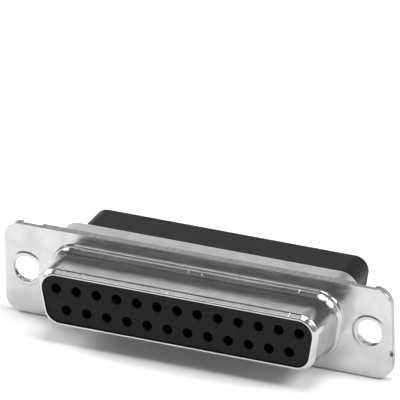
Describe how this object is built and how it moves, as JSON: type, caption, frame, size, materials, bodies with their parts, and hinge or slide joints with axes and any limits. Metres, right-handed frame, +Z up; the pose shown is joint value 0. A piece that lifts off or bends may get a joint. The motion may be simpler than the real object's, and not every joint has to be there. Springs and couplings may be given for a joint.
{
  "type": "d-sub connector",
  "caption": "Socket half of a D-shaped multi-way connector: a drawn steel shell on a drilled flange around a moulded insulator with two rows of crimp contacts.",
  "frame": {"origin": "middle of the flange's front face, midway between its two holes", "axes": "+X along the flange, to the right as the mating face is looked at; +Y back towards the wires, so the mating face looks along -Y; +Z up, towards the long row of sockets"},
  "size_m": [0.053, 0.0174, 0.0126],
  "materials": {
    "tinned_steel": "bright tin plate on drawn steel, lightly brushed and scuffed",
    "black_insulator": "moulded, satin",
    "gold_contact": "gold flash on copper alloy"
  },
  "bodies": {
    "root": {"front_shell": "tinned_steel", "rear_shell": "tinned_steel", "insulator": "black_insulator", "contact_01": "gold_contact", "contact_02": "gold_contact", "contact_03": "gold_contact", "contact_04": "gold_contact", "contact_05": "gold_contact", "contact_06": "gold_contact", "contact_07": "gold_contact", "contact_08": "gold_contact", "contact_09": "gold_contact", "contact_10": "gold_contact", "contact_11": "gold_contact", "contact_12": "gold_contact", "contact_13": "gold_contact", "contact_14": "gold_contact", "contact_15": "gold_contact", "contact_16": "gold_contact", "contact_17": "gold_contact", "contact_18": "gold_contact", "contact_19": "gold_contact", "contact_20": "gold_contact", "contact_21": "gold_contact", "contact_22": "gold_contact", "contact_23": "gold_contact", "contact_24": "gold_contact", "contact_25": "gold_contact"}
  },
  "joints": []
}
